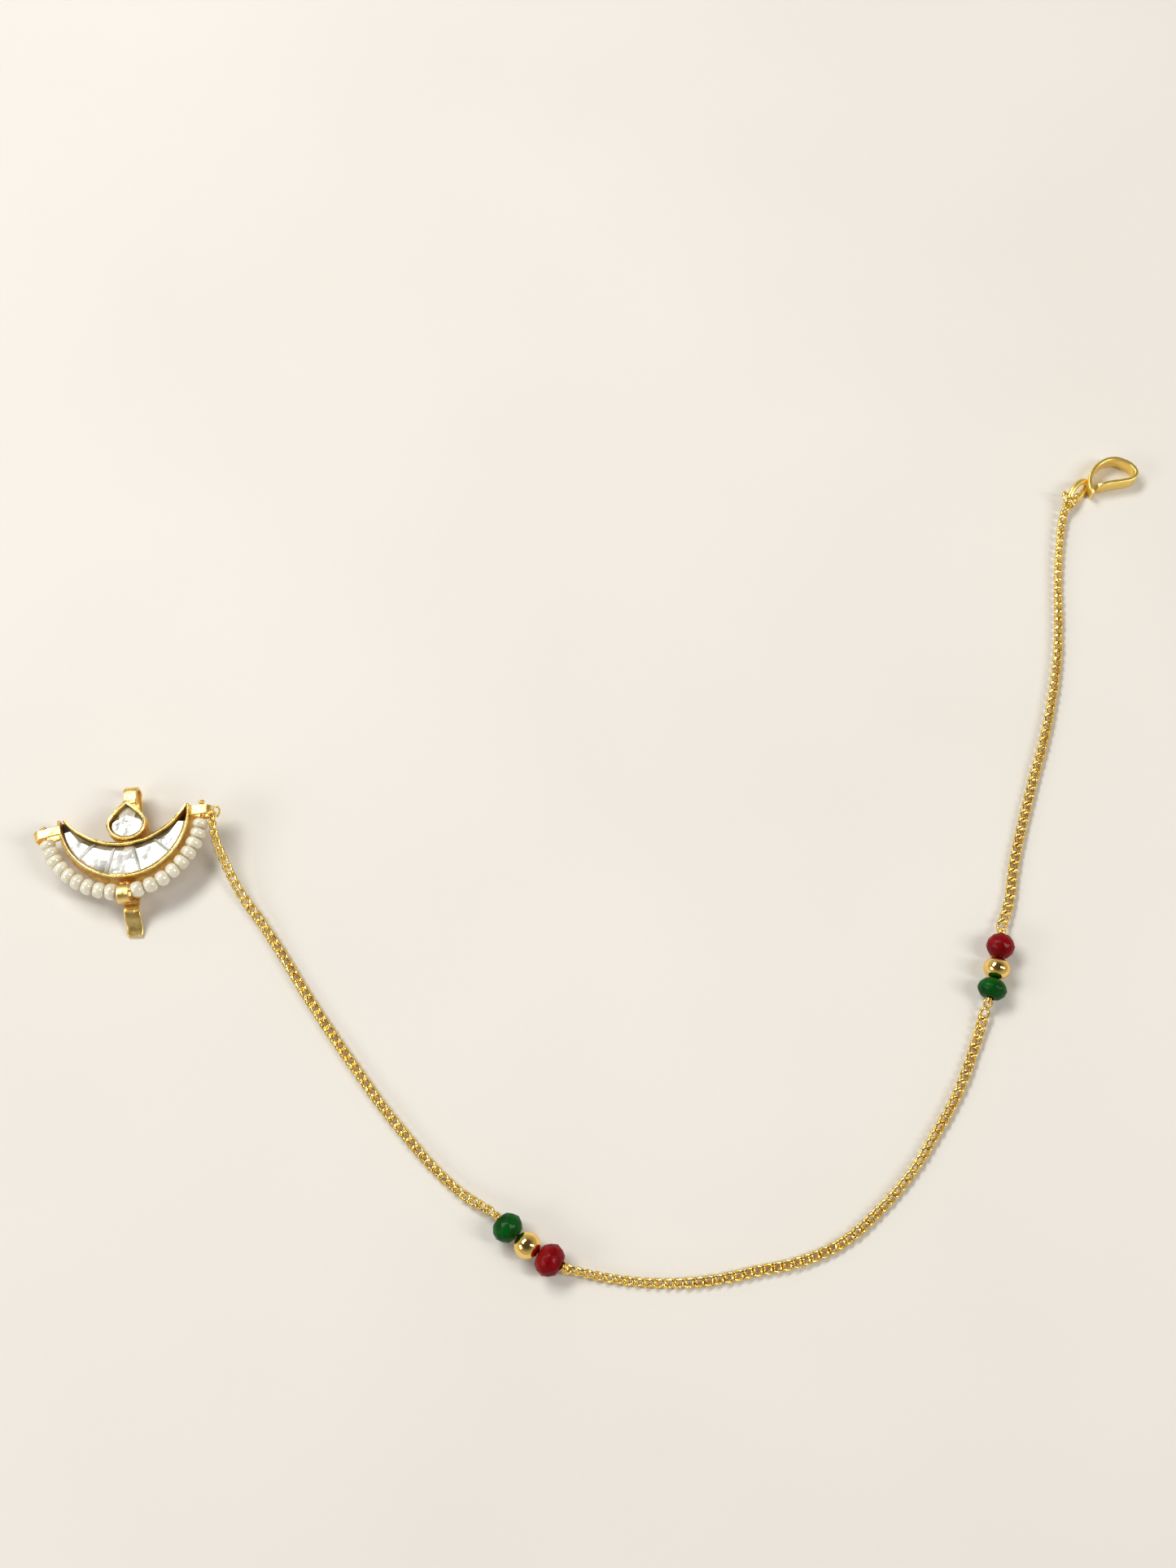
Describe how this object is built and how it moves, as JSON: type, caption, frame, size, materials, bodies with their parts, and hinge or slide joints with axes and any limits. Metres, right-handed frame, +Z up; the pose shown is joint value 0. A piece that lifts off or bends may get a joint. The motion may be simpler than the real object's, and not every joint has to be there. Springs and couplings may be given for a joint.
{
  "type": "nath nose ring",
  "caption": "Crescent clip-on nose ornament set with flat-cut clear stones, edged with seed pearls, on a fine chain with glass and gold beads and a hair hook.",
  "frame": {"origin": "middle of the jewel's footprint, on the table that it lies on", "axes": "+Z up from the table; +X to the right and +Y away from the viewer as the jewel lies in the picture, with the crescent at -X and the hair hook at +X"},
  "size_m": [0.1316, 0.1006, 0.0047],
  "materials": {
    "setting_gold": "gold plated, walls matt and hand-finished, rims burnished",
    "polished_gold": "gold plated, bright polish",
    "gold_wire": "gold plated wire",
    "clear_stone": "flat-cut clear stone on bright silver foil",
    "pearl": "cream seed pearl with a soft lustre",
    "green_glass": "opaque dark green faceted glass",
    "red_glass": "opaque dark red faceted glass"
  },
  "bodies": {
    "root": {"crescent_frame": "setting_gold", "crescent_stone_1": "clear_stone", "crescent_stone_2": "clear_stone", "crescent_stone_3": "clear_stone", "crescent_stone_4": "clear_stone", "crescent_stone_5": "clear_stone", "drop_stone": "clear_stone", "pearl_left_1": "pearl", "pearl_left_2": "pearl", "pearl_left_3": "pearl", "pearl_left_4": "pearl", "pearl_left_5": "pearl", "pearl_left_6": "pearl", "pearl_left_7": "pearl", "pearl_left_8": "pearl", "pearl_left_9": "pearl", "pearl_right_1": "pearl", "pearl_right_2": "pearl", "pearl_right_3": "pearl", "pearl_right_4": "pearl", "pearl_right_5": "pearl", "pearl_right_6": "pearl", "pearl_right_7": "pearl", "pearl_right_8": "pearl", "pearl_right_9": "pearl", "pearl_wire": "gold_wire", "tab_link": "polished_gold", "upper_chain": "polished_gold", "green_bead_1": "green_glass", "gold_bead_1": "polished_gold", "red_bead_1": "red_glass", "bead_pin_1": "gold_wire", "middle_chain": "polished_gold", "green_bead_2": "green_glass", "gold_bead_2": "polished_gold", "red_bead_2": "red_glass", "bead_pin_2": "gold_wire", "end_chain": "polished_gold", "hair_hook": "polished_gold"}
  },
  "joints": []
}
